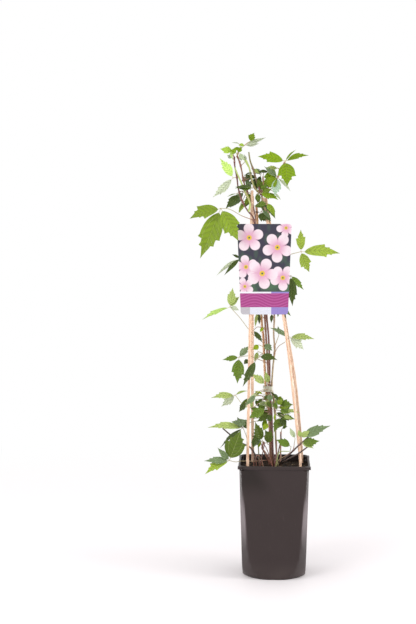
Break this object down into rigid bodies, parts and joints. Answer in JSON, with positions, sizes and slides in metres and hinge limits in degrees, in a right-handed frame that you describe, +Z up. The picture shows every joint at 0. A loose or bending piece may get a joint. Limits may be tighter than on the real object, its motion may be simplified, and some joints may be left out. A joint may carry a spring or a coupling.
{
  "type": "potted anemone clematis",
  "caption": "Young climbing clematis with three-part toothed leaves, tied to split canes in a deep square-topped nursery pot, with a plant label.",
  "frame": {"origin": "middle of the pot's flat underside", "axes": "+Z up along the canes, the label faces -Y, +X to the viewer's right"},
  "size_m": [0.2772, 0.1411, 0.824],
  "materials": {
    "pot": "satin moulded polypropylene, dark warm grey",
    "soil": "crumbly peat compost, almost black",
    "cane": "split sticks, pinkish tan, lightly polished",
    "bamboo": "thin bamboo, orange brown",
    "tape": "translucent whitish tying tape",
    "wire": "dark covered wire",
    "label": null,
    "leaf": "fresh green leaves, purple-brown stems"
  },
  "bodies": {
    "root": {"pot": "pot", "soil": "soil", "cane_front_left": "cane", "cane_front_right": "cane", "cane_back_left": "cane", "cane_back_right": "cane", "cane_bamboo": "bamboo", "stem_tape": "tape", "wire_ring": "wire", "label": "label", "vine_left": "leaf", "vine_middle": "leaf", "vine_right": "leaf", "shoot_low_left": "leaf", "stub_left": "leaf", "stubs_right": "leaf", "shoot_thin": "leaf"}
  },
  "joints": []
}
